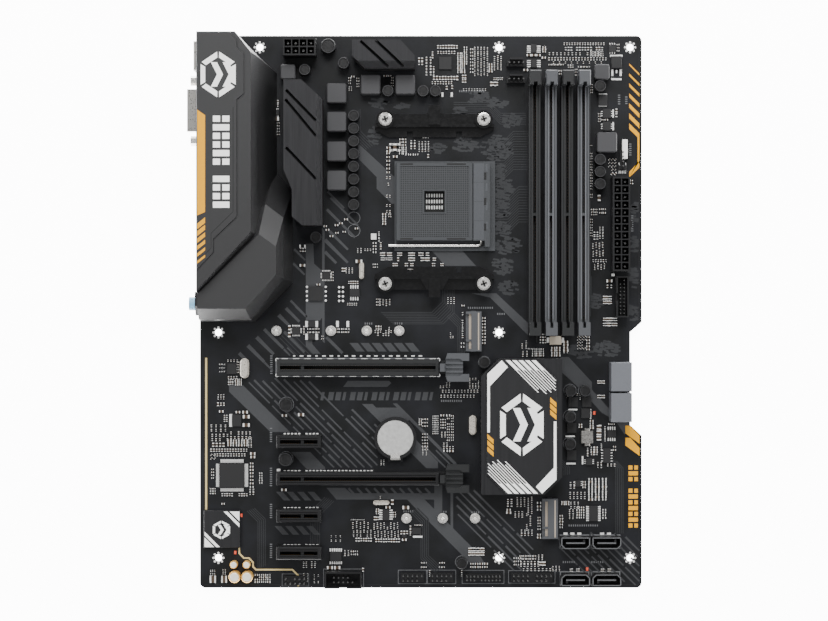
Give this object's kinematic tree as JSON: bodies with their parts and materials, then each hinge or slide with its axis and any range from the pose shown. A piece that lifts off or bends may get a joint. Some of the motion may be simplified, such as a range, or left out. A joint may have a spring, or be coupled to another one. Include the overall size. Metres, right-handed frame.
{
  "type": "desktop motherboard",
  "caption": "Full-size ATX motherboard with processor socket, memory and card slots, heat sinks, rear connector shroud and swinging latches.",
  "frame": {"origin": "middle of the underside of the whole part, on the table it lies on", "axes": "+X from the rear connectors to the front edge, +Y from the expansion-card edge to the processor edge, +Z out of the component side"},
  "size_m": [0.25, 0.3048, 0.0396],
  "materials": {
    "fr4_laminate": "satin black solder mask",
    "shroud_abs": "matte moulded",
    "brushed_aluminium": "brushed, dark anodised",
    "printed_plate": "printed aluminium",
    "zinc_plated_steel": "zinc plated",
    "black_steel": "black coated steel",
    "stainless_shell": "stamped, bright",
    "nickel": "plated",
    "tinned_copper": "tin plated",
    "black_nylon": "moulded",
    "charcoal_nylon": "moulded",
    "grey_nylon": "moulded",
    "socket_lcp": "moulded",
    "ferrite": "pressed powder",
    "can_black": "lacquered can",
    "can_gold": "gold sleeve",
    "mould_compound": "epoxy mould compound",
    "silicone_pad": "soft pad",
    "jack_plastic": "coloured moulding"
  },
  "bodies": {
    "board": {"atx_power_connector": "black_nylon", "audio_capacitors": "can_gold", "audio_jacks": "jack_plastic", "audio_shield": "printed_plate", "battery_holder": "black_nylon", "box_headers": "black_nylon", "chipset_faceplate": "printed_plate", "chipset_heatsink": "brushed_aluminium", "coin_cell": "stainless_shell", "controller_chips": "mould_compound", "cooler_bracket_bottom": "black_nylon", "cooler_bracket_screws": "nickel", "cooler_bracket_top": "black_nylon", "cpu_backplate": "black_steel", "cpu_power_connector": "black_nylon", "cpu_socket_base": "socket_lcp", "dimm_slot_1": "charcoal_nylon", "dimm_slot_2": "grey_nylon", "dimm_slot_3": "charcoal_nylon", "dimm_slot_4": "grey_nylon", "dvi_connector": "stainless_shell", "dvi_jackscrews": "nickel", "hdmi_connector": "stainless_shell", "header_pins": "nickel", "heatsink_screws": "zinc_plated_steel", "io_shroud": "shroud_abs", "lan_usb_stack": "stainless_shell", "m2_nuts": "nickel", "m2_socket_lower": "grey_nylon", "m2_socket_upper": "grey_nylon", "pcb": "fr4_laminate", "pcie_x16_shield": "stainless_shell", "pcie_x16_slot_1": "grey_nylon", "pcie_x16_slot_2": "charcoal_nylon", "pcie_x1_slot_1": "charcoal_nylon", "pcie_x1_slot_2": "charcoal_nylon", "pcie_x1_slot_3": "charcoal_nylon", "pin_headers": "black_nylon", "power_chokes": "ferrite", "power_connector_pins": "tinned_copper", "ps2_usb_stack": "stainless_shell", "sata_ports_angled": "grey_nylon", "sata_ports_vertical": "black_nylon", "solid_capacitors": "can_black", "thermal_pads": "silicone_pad", "through_hole_tails": "tinned_copper", "usb_c_stack": "stainless_shell", "usb_stack": "stainless_shell", "vrm_heatsink_left": "brushed_aluminium", "vrm_heatsink_top": "brushed_aluminium", "vrm_mosfets": "mould_compound"},
    "socket_lever": {"cpu_socket_lever": "nickel"},
    "socket_cover": {"cpu_socket_cover": "socket_lcp"},
    "retainer_1": {"pcie_x16_latch_1": "grey_nylon"},
    "retainer_2": {"pcie_x16_latch_2": "charcoal_nylon"},
    "cell_clip": {"battery_clip": "nickel"},
    "memory_latch_1": {"dimm_latch_1": "charcoal_nylon"},
    "memory_latch_2": {"dimm_latch_2": "grey_nylon"},
    "memory_latch_3": {"dimm_latch_3": "charcoal_nylon"},
    "memory_latch_4": {"dimm_latch_4": "grey_nylon"}
  },
  "joints": [
    {"name": "socket_lever_hinge", "type": "hinge", "parent": "board", "child": "socket_lever", "pos_m": [0.03638, 0.0605, 0.007], "axis": [0, 1, 0], "range_deg": [0, 90]},
    {"name": "socket_cover_slide", "type": "slide", "parent": "board", "child": "socket_cover", "axis": [-1, 0, 0], "range_m": [0, 0.0009]},
    {"name": "memory_latch_1_hinge", "type": "hinge", "parent": "board", "child": "memory_latch_1", "pos_m": [0.06537, 0.1275, 0.0069], "axis": [-1, 0, 0], "range_deg": [0, 30]},
    {"name": "memory_latch_2_hinge", "type": "hinge", "parent": "board", "child": "memory_latch_2", "pos_m": [0.0743, 0.1275, 0.0069], "axis": [-1, 0, 0], "range_deg": [0, 30]},
    {"name": "memory_latch_3_hinge", "type": "hinge", "parent": "board", "child": "memory_latch_3", "pos_m": [0.08323, 0.1275, 0.0069], "axis": [-1, 0, 0], "range_deg": [0, 30]},
    {"name": "memory_latch_4_hinge", "type": "hinge", "parent": "board", "child": "memory_latch_4", "pos_m": [0.09216, 0.1275, 0.0069], "axis": [-1, 0, 0], "range_deg": [0, 30]},
    {"name": "retainer_1_hinge", "type": "hinge", "parent": "board", "child": "retainer_1", "pos_m": [0.01473, -0.0305, 0.0076], "axis": [0, 1, 0], "range_deg": [0, 18], "stiffness_Nm_per_rad": 0.002, "springref_deg": -11.46},
    {"name": "retainer_2_hinge", "type": "hinge", "parent": "board", "child": "retainer_2", "pos_m": [0.01473, -0.09146, 0.0076], "axis": [0, 1, 0], "range_deg": [0, 18], "stiffness_Nm_per_rad": 0.002, "springref_deg": -11.46},
    {"name": "cell_clip_hinge", "type": "hinge", "parent": "board", "child": "cell_clip", "pos_m": [-0.01097, -0.0812, 0.0055], "axis": [1, 0, 0], "range_deg": [0, 10], "stiffness_Nm_per_rad": 0.004, "springref_deg": -5.73}
  ],
  "couplings": [
    {"joint": "socket_cover_slide", "follows": "socket_lever_hinge", "m_per_rad": 0.00057239}
  ]
}
